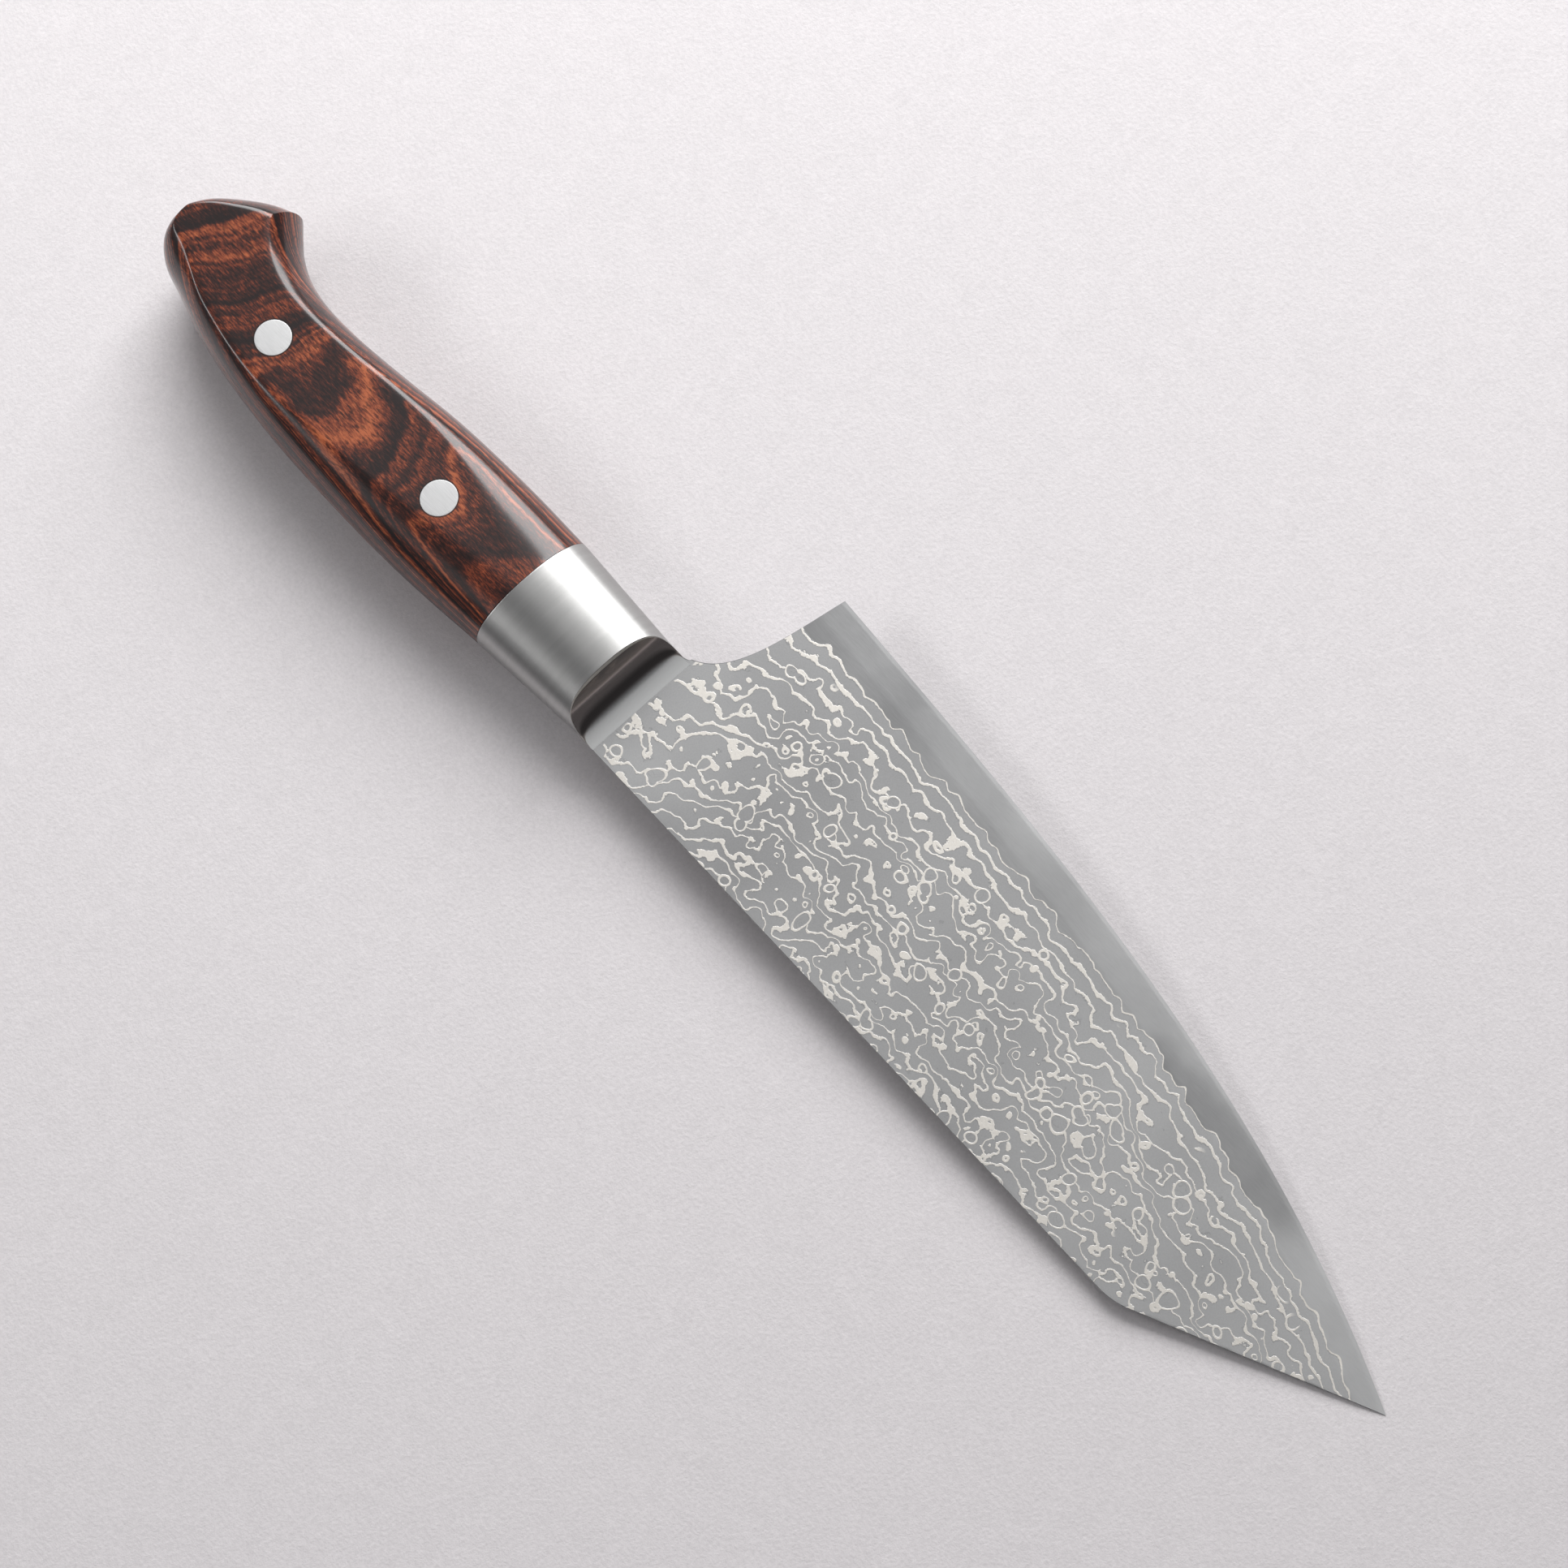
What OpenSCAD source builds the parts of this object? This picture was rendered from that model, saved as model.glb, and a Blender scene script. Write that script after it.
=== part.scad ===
// Chef knife with an angled tip. Its blade is a hard core between two patterned
// cladding sheets, the bolster is two steel halves welded onto the blank, and the
// wooden handle is two scales riveted over a hidden tang.
//
// The knife lies on its side: the tip points along +X, the cutting edge along +Y and
// the left side up. Its parts are laid out from the seam where the scales meet the
// bolster, the centre line of the handle and the mid-plane of the blade, and then
// moved so that the origin is the middle of the underside.

/* [Blade] */
// Length from heel to tip along the knife
blade_len = 168; // [150:1:190]
// Distance from the handle seam to the heel
heel_x = 39; // [37:0.5:44]
// Distance from the centre line to the heel
heel_y = 39.3; // [34:0.1:44]
// Distance from the centre line to the tip
tip_y = 9.8; // [6:0.1:14]
// Distance from the centre line to the spine
spine_y = 10.3; // [9:0.1:11.5]
// Length of the angled back edge, along the knife
angled_len = 45; // [35:1:60]
// Radius where the spine turns into the angled back edge
corner_r = 15; // [5:1:30]
// Share of the edge's fall that is spread evenly from heel to tip
edge_even = 0.34; // [0.2:0.01:0.5]
// How late the rest of the edge's fall comes
edge_power = 3.15; // [2.5:0.05:4]
// Thickness of the blank at the bolster
blank_t = 2.2; // [1.8:0.1:3]
// Thickness of the hard core
core_t = 0.7; // [0.5:0.05:0.9]
// Width of the bare core strip at the heel
strip_heel = 8; // [6:0.5:11]
// Width of the bare core strip at the tip
strip_tip = 4; // [2:0.5:6]

/* [Bolster] */
// Length of the bolster, from the seam to its feathered front
bolster_len = 29; // [27:0.5:31]
// Height of the bolster above and below the centre line at the seam, spine side
bolster_back = 12.1; // [11.5:0.1:13]
// Height of the bolster on the belly side at the seam
bolster_belly = 13; // [12:0.1:14]
// Height of the neck on the belly side
neck_belly = 11.9; // [11:0.1:12.5]
// Thickness of the bolster in front of the scoop
bolster_front_t = 14.6; // [13:0.1:16]
// Radius of the finger scoop at the front of the bolster
scoop_r = 8; // [7:0.5:10]

/* [Handle] */
// Length of the wooden scales
scale_len = 96.5; // [90:0.5:110]
// Thickness of the handle across its flat sides
handle_t = 16.8; // [16:0.1:19]
// Length of the hidden tang behind the seam
tang_len = 82; // [76:1:84]

/* [Rivets] */
// Distance from the seam to the front rivet
front_rivet_x = 21.6; // [15:0.1:30]
// Distance from the seam to the rear rivet
rear_rivet_x = 65; // [55:0.1:70]
// Diameter of the rivet heads
rivet_head_d = 6.9; // [6:0.1:8]
// Diameter of the sleeve's barrel
barrel_d = 4.6; // [4:0.1:5]
// Diameter of the pin's shank
shank_d = 3.2; // [2.6:0.1:3.4]
// Thickness of a rivet head
rivet_head_t = 3; // [2:0.1:4]

/* [Hidden] */
$fn = 64;

fit_gap = 0.05;                      // room left for glue and for a pin in its barrel
eps = 1;                             // how far a cutting tool runs past what it cuts
room = 60;                           // size of a tool that has to pass the whole width
lip_t = 0.15;                        // thickness of the bolster at its feathered front
oval_power = 2.15;                   // 2 is an ellipse, more is squarer
tip_x = heel_x + blade_len;
corner_x = tip_x - angled_len;       // where spine and angled edge would meet
clad_t = (blank_t - core_t) / 2;
neck_x = heel_x - 15;                // where the neck starts to turn into the heel
front_rivet_y = -0.5;                // the rivets follow the middle of the handle
rear_rivet_y = -2.3;

// The side faces fall towards the edge and the tip so that the claddings run out
// along a straight line that leaves the core strip bare.
strip_slope = (heel_y - strip_heel - tip_y + strip_tip) / blade_len;
face_fall = clad_t / (spine_y + heel_y - strip_heel + strip_slope * (heel_x - bolster_len));
face_taper = face_fall * strip_slope;

// The handle from butt to seam, as shares of its length. Each station gives the
// distance from the seam, the spine side, the belly side and the half thickness of
// the oval before its sides are ground flat.
stations = [[1, -1, 2.5, 6.5], [0.993, -3, 4.8, 9.5], [0.974, -5, 7.6, 11],
            [0.933, -7.1, 12, 11], [0.891, -8.4, 15.2, 11], [0.855, -9.5, 17, 11],
            [0.824, -10.4, 15, 11], [0.777, -11.6, 11.6, 10.8], [0.705, -12.7, 9.4, 10.5],
            [0.622, -13.4, 9.4, 10.5], [0.466, -14.1, 10.8, 10.8],
            [0.311, -14.2, 12.2, 10.2], [0.155, -13.5, 13, 9.2],
            [0, -bolster_back, bolster_belly, handle_t / 2]];
station_steps = 4;
oval_steps = 24;

// ---- curves -------------------------------------------------------------------

// A point at t from 0 to 1 on the curve that leaves a for b and arrives at d from c.
function bezier(a, b, c, d, t) =
    a * pow(1 - t, 3) + b * 3 * t * pow(1 - t, 2) + c * 3 * t * t * (1 - t) + d * pow(t, 3);

// A point between rows b and c of a list, smooth through its neighbours a and d.
function between(a, b, c, d, t) =
    bezier(b, b + (c - a) / 6, c - (d - b) / 6, c, t);

function row(list, i) = list[max(0, min(len(list) - 1, i))];

// The handle's stations with the curve between them filled in.
function handle_rows() =
    [for (i = [0 : len(stations) - 2], k = [0 : station_steps - 1])
        let (r = between(row(stations, i - 1), stations[i], stations[i + 1],
                         row(stations, i + 2), k / station_steps))
        [-r[0] * scale_len, r[1], r[2], r[3]],
     [0, -bolster_back, bolster_belly, handle_t / 2]];

function edge_fall(s) = edge_even * s + (1 - edge_even) * pow(s, edge_power);
function edge_point(s) = [heel_x + blade_len * s, heel_y - (heel_y - tip_y) * edge_fall(s)];
function heel_point(t) =
    bezier([neck_x, neck_belly], [heel_x - 4.5, neck_belly + 0.3],
           [heel_x - 2.8, heel_y * 0.56], [heel_x, heel_y], t);

// Angle of the angled back edge, and the arc that eases it into the spine.
back_angle = atan((spine_y + tip_y) / angled_len);
ease_x = corner_x - corner_r * tan(back_angle / 2);
function ease_point(a) = [ease_x + corner_r * sin(a), -spine_y + corner_r * (1 - cos(a))];

// ---- shared shapes --------------------------------------------------------------

// A closed body through oval half sections [x, spine y, belly y, half thickness].
module half_oval_body(rows) {
    m = oval_steps + 1;
    points = [for (r = rows, k = [0 : oval_steps])
        let (a = 180 * k / oval_steps,
             across = sign(cos(a)) * pow(abs(cos(a)), 2 / oval_power),
             up = pow(max(0, sin(a)), 2 / oval_power))
        [r[0], (r[1] + r[2]) / 2 - across * (r[2] - r[1]) / 2, r[3] * up]];
    last = len(rows) - 1;
    sides = [for (i = [0 : last - 1], k = [0 : oval_steps])
        let (n = (k + 1) % m) [i * m + k, i * m + n, (i + 1) * m + n, (i + 1) * m + k]];
    start_cap = [[for (k = [oval_steps : -1 : 0]) k]];
    end_cap = [[for (k = [0 : oval_steps]) last * m + k]];
    polyhedron(points, concat(sides, start_cap, end_cap), convexity = 6);
}

// Outline of the steel blank: blade, neck and the part that fills the bolster.
module blade_outline() {
    polygon(concat(
        [[0, bolster_belly], [0, -bolster_back], [neck_x, -spine_y]],
        [for (a = [0 : back_angle / 6 : back_angle + 0.01]) ease_point(a)],
        [for (i = [32 : -1 : 1]) edge_point(i / 32)],
        [for (i = [16 : -1 : 0]) heel_point(i / 16)]));
}

module tang_outline(gap = 0) {
    polygon([[0.5, 5.5 + gap], [-tang_len + 5, 2 + gap], [-tang_len - gap, -0.5],
             [-tang_len - gap, -4], [-tang_len + 5, -6.5 - gap], [0.5, -6.5 - gap]]);
}

module blank_sheet(bottom, thickness) {
    translate([0, 0, bottom]) linear_extrude(thickness) {
        blade_outline();
        tang_outline();
    }
}

// Everything above the ground left face of the blade.
module above_face() {
    translate([bolster_len, -spine_y, blank_t / 2])
        rotate([-atan(face_fall), atan(face_taper), 0])
            translate([0, -room / 2, 0]) cube([blade_len + room, 2 * room, blank_t]);
}

module rivet_places() {
    translate([-front_rivet_x, front_rivet_y, 0]) children();
    translate([-rear_rivet_x, rear_rivet_y, 0]) children();
}

module barrel_holes() {
    rivet_places() cylinder(d = barrel_d + 2 * fit_gap, h = handle_t + eps, center = true);
}

// Moves the knife from its seam, centre line and mid-plane to the part's origin.
module placed() {
    rows = handle_rows();
    low_y = min([for (r = rows) r[1]]);
    translate([(scale_len - tip_x) / 2, -(heel_y + low_y) / 2, handle_t / 2]) children();
}

// ---- left-hand parts, made at the mid-plane ---------------------------------------

module cladding() {
    difference() {
        blank_sheet(core_t / 2, clad_t);
        above_face();
        barrel_holes();
    }
}

module bolster() {
    // thickness lost for each millimetre along the bolster
    taper = (handle_t - bolster_front_t) / (bolster_len - scoop_r);
    difference() {
        half_oval_body([for (r = [[0, bolster_back, bolster_belly], [neck_x, spine_y, neck_belly],
                                  [bolster_len, spine_y, neck_belly]])
            [r[0], -r[1], r[2], (handle_t - taper * r[0]) / 2]]);
        translate([-eps, -room / 2, -eps]) cube([room, room, blank_t / 2 + eps]);
        translate([bolster_len, 0, blank_t / 2 + lip_t + scoop_r])
            rotate([90, 0, 0]) cylinder(r = scoop_r, h = room, center = true);
    }
}

module scale() {
    difference() {
        intersection() {
            half_oval_body(handle_rows());
            translate([-scale_len - eps, -room / 2, 0])
                cube([scale_len + eps, room, handle_t / 2]);
        }
        translate([0, 0, -eps]) linear_extrude(blank_t / 2 + fit_gap + eps)
            tang_outline(fit_gap);
        barrel_holes();
        translate([0, 0, handle_t / 2 - rivet_head_t])
            rivet_places() cylinder(d = rivet_head_d, h = rivet_head_t + eps);
    }
}

module rivet_head() {
    translate([0, 0, handle_t / 2 - rivet_head_t]) cylinder(d = rivet_head_d, h = rivet_head_t);
}

// The sleeve's barrel reaches from its head almost to the pin's head.
module rivet_sleeve() {
    barrel_len = handle_t - 2 * rivet_head_t - fit_gap;
    difference() {
        union() {
            rivet_head();
            translate([0, 0, handle_t / 2 - rivet_head_t - barrel_len])
                cylinder(d = barrel_d, h = barrel_len + eps);
        }
        translate([0, 0, -handle_t / 2])
            cylinder(d = shank_d + 2 * fit_gap, h = handle_t - rivet_head_t);
    }
}

module rivet_pin() {
    shank_len = handle_t - 2 * rivet_head_t - 2 * fit_gap;
    mirror([0, 0, 1]) rivet_head();
    translate([0, 0, -handle_t / 2 + rivet_head_t - eps])
        cylinder(d = shank_d, h = shank_len + eps);
}

// ---- parts --------------------------------------------------------------------------

module blade_core() {
    color("#9a9da0") placed() difference() {
        blank_sheet(-core_t / 2, core_t);
        above_face();
        mirror([0, 0, 1]) above_face();
        barrel_holes();
    }
}

module cladding_left() { color("#b9b6b0") placed() cladding(); }
module cladding_right() { color("#b9b6b0") placed() mirror([0, 0, 1]) cladding(); }
module bolster_left() { color("#c8c9ca") placed() bolster(); }
module bolster_right() { color("#c8c9ca") placed() mirror([0, 0, 1]) bolster(); }
module scale_left() { color("#6b2a1c") placed() scale(); }
module scale_right() { color("#6b2a1c") placed() mirror([0, 0, 1]) scale(); }

module front_rivet_sleeve() {
    color("#dcdcdc") placed() translate([-front_rivet_x, front_rivet_y, 0]) rivet_sleeve();
}

module front_rivet_pin() {
    color("#dcdcdc") placed() translate([-front_rivet_x, front_rivet_y, 0]) rivet_pin();
}

module rear_rivet_sleeve() {
    color("#dcdcdc") placed() translate([-rear_rivet_x, rear_rivet_y, 0]) rivet_sleeve();
}

module rear_rivet_pin() {
    color("#dcdcdc") placed() translate([-rear_rivet_x, rear_rivet_y, 0]) rivet_pin();
}

blade_core();
cladding_left();
cladding_right();
bolster_left();
bolster_right();
scale_left();
scale_right();
front_rivet_sleeve();
front_rivet_pin();
rear_rivet_sleeve();
rear_rivet_pin();
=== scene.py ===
import math

import bmesh
import bpy
import numpy as np
from mathutils import Matrix, Vector


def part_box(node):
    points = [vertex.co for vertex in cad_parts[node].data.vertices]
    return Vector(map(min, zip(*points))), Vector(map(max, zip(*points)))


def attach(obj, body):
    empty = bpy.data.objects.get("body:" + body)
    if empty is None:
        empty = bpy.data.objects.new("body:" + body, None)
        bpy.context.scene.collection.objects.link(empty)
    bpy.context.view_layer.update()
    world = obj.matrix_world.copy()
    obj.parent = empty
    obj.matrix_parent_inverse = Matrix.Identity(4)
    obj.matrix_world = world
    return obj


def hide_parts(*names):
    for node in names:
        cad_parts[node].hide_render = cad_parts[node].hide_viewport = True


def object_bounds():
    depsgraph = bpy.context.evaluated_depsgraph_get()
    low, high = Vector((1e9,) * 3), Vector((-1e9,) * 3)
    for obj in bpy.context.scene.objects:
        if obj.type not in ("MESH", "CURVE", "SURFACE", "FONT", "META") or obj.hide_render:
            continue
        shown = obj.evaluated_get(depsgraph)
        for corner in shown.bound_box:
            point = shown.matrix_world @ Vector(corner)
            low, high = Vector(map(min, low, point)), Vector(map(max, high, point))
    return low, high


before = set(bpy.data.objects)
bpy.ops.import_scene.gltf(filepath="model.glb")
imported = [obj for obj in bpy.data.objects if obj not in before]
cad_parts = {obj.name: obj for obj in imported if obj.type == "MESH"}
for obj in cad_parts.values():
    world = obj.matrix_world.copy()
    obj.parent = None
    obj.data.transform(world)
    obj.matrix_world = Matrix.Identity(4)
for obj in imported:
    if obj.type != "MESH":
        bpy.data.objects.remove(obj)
cadLow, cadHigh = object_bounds()

# Shapes are worked out in millimetres from the seam between handle and bolster (x),
# the centre line of the handle (y, the edge is on the plus side) and the mid-plane of
# the blade (z), and moved to the frame's place when their mesh is made.
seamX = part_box("scale_left")[1].x
centreY = cadHigh.y - 0.0393  # the heel stands this far out from the centre line
middleZ = (cadLow.z + cadHigh.z) / 2
handleTop = (cadHigh.z - cadLow.z) * 500  # half thickness of the handle in mm
rivetPlaces = []
for rivetNode in ("front_rivet_sleeve", "rear_rivet_sleeve"):
    boxMiddle = (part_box(rivetNode)[0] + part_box(rivetNode)[1]) / 2
    rivetPlaces.append(((boxMiddle.x - seamX) * 1000, (boxMiddle.y - centreY) * 1000))


# A smooth curve through knots: cubic pieces whose slope at a knot is the mean slope
# between its two neighbours.
def smoothCurve(knots, values, at):
    knots = np.asarray(knots, float)
    values = np.asarray(values, float)
    slopes = np.gradient(values, knots)
    i = np.clip(np.searchsorted(knots, at, side="right") - 1, 0, len(knots) - 2)
    step = knots[i + 1] - knots[i]
    t = np.clip((at - knots[i]) / step, 0, 1)
    stay = (1 + 2 * t) * (1 - t) ** 2 * values[i] + t * t * (3 - 2 * t) * values[i + 1]
    return stay + step * (t * (1 - t) ** 2 * slopes[i] - t * t * (1 - t) * slopes[i + 1])


# 0 below low, 1 above high, and between them t squared times 3 - 2t.
def softStep(low, high, value):
    t = np.clip((value - low) / (high - low), 0, 1)
    return t * t * (3 - 2 * t)


# A seeded wave along x: random heights at even knots, joined smoothly.
def randomWave(x, spacing, seed):
    draw = np.random.default_rng(seed)
    knots = np.arange(-40, 260, spacing)
    return smoothCurve(knots, draw.uniform(-1, 1, len(knots)), x)


# A closed shell from a grid of rings: ring i is column i of the shape and closes on
# itself, and capStart draws the first ring together in its middle. Doubles are merged
# so that poles and seams close.
def makePiece(name, rings, material, nodes, marks=None, capStart=False):
    if capStart:
        middle = np.broadcast_to(rings[:1].mean(axis=1, keepdims=True), rings[:1].shape)
        rings = np.concatenate([middle, rings])
        marks = None if marks is None else np.concatenate([marks[:1], marks])
    columns, around = rings.shape[:2]
    points = rings.reshape(-1, 3) * 0.001 + np.array([seamX, centreY, middleZ])
    i, j = np.meshgrid(np.arange(columns - 1), np.arange(around), indexing="ij")
    k = (j + 1) % around
    faces = np.stack([i * around + j, i * around + k, (i + 1) * around + k, (i + 1) * around + j], -1)
    mesh = bpy.data.meshes.new(name)
    mesh.from_pydata(points.tolist(), [], faces.reshape(-1, 4).tolist())
    if marks is not None:
        values = np.ascontiguousarray(marks, np.float32).ravel()
        mesh.attributes.new("marks", "FLOAT", "POINT").data.foreach_set("value", values)
    work = bmesh.new()
    work.from_mesh(mesh)
    bmesh.ops.remove_doubles(work, verts=work.verts, dist=1e-6)
    bmesh.ops.recalc_face_normals(work, faces=work.faces)
    work.to_mesh(mesh)
    work.free()
    mesh.polygons.foreach_set("use_smooth", np.ones(len(mesh.polygons), bool))
    mesh.set_sharp_from_angle(angle=math.radians(32))
    mesh.materials.append(material)
    piece = bpy.data.objects.new(name, mesh)
    bpy.context.scene.collection.objects.link(piece)
    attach(piece, "root")
    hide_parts(*nodes)
    print("made", name, "with", len(mesh.polygons), "faces")
    return piece


# A node socket that can be used in sums. Each operator adds one Math node.
class Wire:
    def __init__(self, shader, socket):
        self.shader = shader
        self.socket = socket

    def math(self, operation, *values):
        return self.shader.node("ShaderNodeMath", {"operation": operation}, dict(enumerate(values)))

    def __add__(self, other):
        return self.math("ADD", self, other)

    def __radd__(self, other):
        return self.math("ADD", other, self)

    def __sub__(self, other):
        return self.math("SUBTRACT", self, other)

    def __rsub__(self, other):
        return self.math("SUBTRACT", other, self)

    def __mul__(self, other):
        return self.math("MULTIPLY", self, other)

    def __rmul__(self, other):
        return self.math("MULTIPLY", other, self)

    def __truediv__(self, other):
        return self.math("DIVIDE", self, other)

    def __rtruediv__(self, other):
        return self.math("DIVIDE", other, self)

    def __pow__(self, other):
        return self.math("POWER", self, other)

    def __rpow__(self, other):
        return self.math("POWER", other, self)

    def __abs__(self):
        return self.math("ABSOLUTE", self)

    def part(self):
        return self.math("FRACT", self)

    def least(self, other):
        return self.math("MINIMUM", self, other)

    def most(self, other):
        return self.math("MAXIMUM", self, other)

    def step(self, low, high):
        settings = {"interpolation_type": "SMOOTHSTEP"}
        return self.shader.node("ShaderNodeMapRange", settings, {0: self, 1: low, 2: high})


# A material with one Principled shader.
class Shader:
    def __init__(self, name, **plain):
        self.material = bpy.data.materials.new(name)
        self.material.use_nodes = True
        self.tree = self.material.node_tree
        self.surface = self.tree.nodes["Principled BSDF"]
        for socket, value in plain.items():
            self.surface.inputs[socket.replace("_", " ")].default_value = value

    # Adds a node of a type: settings first, then the values or links of its inputs.
    def node(self, kind, settings=None, inputs=None, output=0):
        made = self.tree.nodes.new(kind)
        for key, value in (settings or {}).items():
            if key == "stops":
                ramp = made.color_ramp
                while len(ramp.elements) < len(value):
                    ramp.elements.new(1)
                for element, (place, colour) in zip(ramp.elements, value):
                    element.position = place
                    element.color = (*colour, 1)
            else:
                setattr(made, key, value)
        for key, value in (inputs or {}).items():
            if isinstance(value, Wire):
                self.tree.links.new(value.socket, made.inputs[key])
            else:
                made.inputs[key].default_value = value
        return Wire(self, made.outputs[output])

    # Object coordinates in millimetres from the seam, centre line and mid-plane.
    def place(self):
        coordinates = self.node("ShaderNodeTexCoord", output="Object")
        moved = (-seamX * 1000, -centreY * 1000, -middleZ * 1000)
        inputs = {"Vector": coordinates, "Location": moved, "Scale": (1000, 1000, 1000)}
        return self.node("ShaderNodeMapping", {"vector_type": "POINT"}, inputs)

    # The place turned about Z and squeezed, for a pattern that runs in one direction.
    def squeezed(self, place, scale, turn=0.0, move=(0, 0, 0)):
        inputs = {"Vector": place, "Scale": scale, "Rotation": (0, 0, math.radians(turn)), "Location": move}
        return self.node("ShaderNodeMapping", {"vector_type": "POINT"}, inputs)

    def noise(self, place, size, detail=2.0, roughness=0.5):
        inputs = {"Vector": place, "Scale": 1 / size, "Detail": detail, "Roughness": roughness}
        return self.node("ShaderNodeTexNoise", {}, inputs)

    # Noise that changes with one number only.
    def plies(self, value, scale, detail, roughness):
        inputs = {"W": value, "Scale": scale, "Detail": detail, "Roughness": roughness}
        return self.node("ShaderNodeTexNoise", {"noise_dimensions": "1D"}, inputs)

    # Distance to the nearest of a scatter of points, in cells.
    def cells(self, place, size):
        return self.node("ShaderNodeTexVoronoi", {}, {"Vector": place, "Scale": 1 / size})

    # The number that the mesh carries at each point.
    def marks(self):
        return self.node("ShaderNodeAttribute", {"attribute_name": "marks"}, output="Fac")

    def axes(self, place):
        split = self.node("ShaderNodeSeparateXYZ", {}, {0: place})
        return [Wire(self, socket) for socket in split.socket.node.outputs]

    def mix(self, share, first, second):
        return self.node("ShaderNodeMix", {"data_type": "RGBA"}, {0: share, 6: first, 7: second}, output=2)

    def ramp(self, value, *stops):
        return self.node("ShaderNodeValToRGB", {"stops": stops}, {0: value})

    def bump(self, height, distance, strength=1.0):
        inputs = {"Height": height, "Distance": distance, "Strength": strength}
        self.feed("Normal", self.node("ShaderNodeBump", {}, inputs))

    def feed(self, socket, value):
        self.tree.links.new(value.socket, self.surface.inputs[socket])


# The blade: a core sheet between two claddings.
blade = {
    "length": 168,       # heel to tip along the knife
    "heelX": 39,         # the heel's distance from the seam
    "heelY": 39.3,       # and from the centre line
    "tipY": 9.8,
    "spineY": -10.3,
    "angledLength": 45,  # length of the angled back edge
    "cornerRadius": 15,
    "edgeEven": 0.34,    # share of the edge's fall spread evenly from heel to tip
    "edgePower": 3.15,
    "spineHalf": 1.1,    # half thickness of the spine at the bolster
    "spineTaper": 0.0026,
    "edgeHalf": 0.03,
    "grind": 0.78,       # 1 is a flat grind, less is fuller
    "bevelWidth": 0.25,
    "edgeLeast": 0.006,  # half thickness at the very edge, and its rise over a bevel's width
    "edgeRise": 0.022,
    "spineEase": 0.3,    # how far the spine's corners are rounded
    "coreGap": 0.004,    # between the core and a cladding
    "stripHeel": 8.1,    # width of the bare core at the heel
    "stripTip": 4.6,     # and at the tip
    "neckX": 29,         # where the bolster's front feathers out
}
tipX = blade["heelX"] + blade["length"]
backAngle = math.atan2(blade["tipY"] - blade["spineY"], blade["angledLength"])


# Height of the cutting edge: an even fall plus one that comes late, as a power.
def edgeHeight(x):
    s = (x - blade["heelX"]) / blade["length"]
    late = np.sign(s) * np.abs(s) ** blade["edgePower"] * (s > 0)
    fall = blade["edgeEven"] * s + (1 - blade["edgeEven"]) * late
    return blade["heelY"] - (blade["heelY"] - blade["tipY"]) * fall


# The spine, and past the corner the angled back edge, with an arc between the two.
def backHeight(x):
    cornerX = tipX - blade["angledLength"]
    easeX = cornerX - blade["cornerRadius"] * math.tan(backAngle / 2)
    arcX = np.clip(x - easeX, 0, blade["cornerRadius"] * math.sin(backAngle))
    arc = blade["cornerRadius"] - np.sqrt(blade["cornerRadius"] ** 2 - arcX ** 2)
    past = np.maximum(x - easeX - blade["cornerRadius"] * math.sin(backAngle), 0)
    return blade["spineY"] + arc + past * math.tan(backAngle)


# Half thickness: a power of the distance from the edge, then straight to the edge.
def bladeHalf(x, y):
    top = blade["spineHalf"] - blade["spineTaper"] * np.maximum(x - blade["neckX"], 0)
    height = np.maximum(edgeHeight(x) - blade["spineY"], 1e-3)
    share = np.clip((edgeHeight(x) - y) / height, 0, 1)
    body = blade["edgeHalf"] + (top - blade["edgeHalf"]) * share ** blade["grind"]
    widths = np.clip((edgeHeight(x) - y) / blade["bevelWidth"], 0, 9)
    bevel = blade["edgeLeast"] + blade["edgeRise"] * widths
    return np.minimum(body, bevel)


# Where the cladding runs out: parallel to the edge, in seeded scallops.
def stripLine(x):
    s = (x - blade["heelX"]) / blade["length"]
    width = blade["stripHeel"] + (blade["stripTip"] - blade["stripHeel"]) * s
    return edgeHeight(x) - width


# Four seeded waves of different lengths, for the scallops of the cladding's border.
def scallops(x, seed):
    fine = 0.2 * randomWave(x, 0.8, seed + 3) + 0.6 * randomWave(x, 1.7, seed)
    return fine + 0.5 * randomWave(x, 3.9, seed + 1) + 0.35 * randomWave(x, 11, seed + 2)


# Columns across the blank: x, back and front of the outline. The heel is a cubic curve
# from the neck to the heel's corner, and its columns follow it.
def blankColumns():
    tangX = np.array([-82, -81.9, -77, -60, -40, -20, 0, 0.01, 8, 16])
    tangBack = np.array([-4, -4, -6.4, -6.4, -6.4, -6.4, -6.4, -11.6, -11.1, -10.6])
    tangFront = np.array([-0.5, -0.5, 2, 2.7, 3.5, 4.5, 5.5, 12.5, 12.2, 11.9])
    t = np.linspace(0, 1, 96)[:-1]
    fromNeck = [(1 - t) ** 3, 3 * t * (1 - t) ** 2, 3 * t * t * (1 - t), t ** 3]
    heelX = sum(w * v for w, v in zip(fromNeck, (24, 34.5, 36.2, blade["heelX"])))
    heelFront = sum(w * v for w, v in zip(fromNeck, (12.05, 12.4, 22, blade["heelY"])))
    edgeX = blade["heelX"] + blade["length"] * np.linspace(0, 1, 470)
    x = np.concatenate([tangX, heelX, edgeX])
    back = np.concatenate([tangBack, backHeight(heelX), backHeight(edgeX)])
    front = np.concatenate([tangFront, heelFront, edgeHeight(edgeX)])
    hidden = (x > 0) & (x < 28.6)   # under the bolster the blank is a little smaller
    back = back + 0.35 * hidden
    front = front - 0.35 * hidden
    return x, back, np.maximum(front, back)


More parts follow.
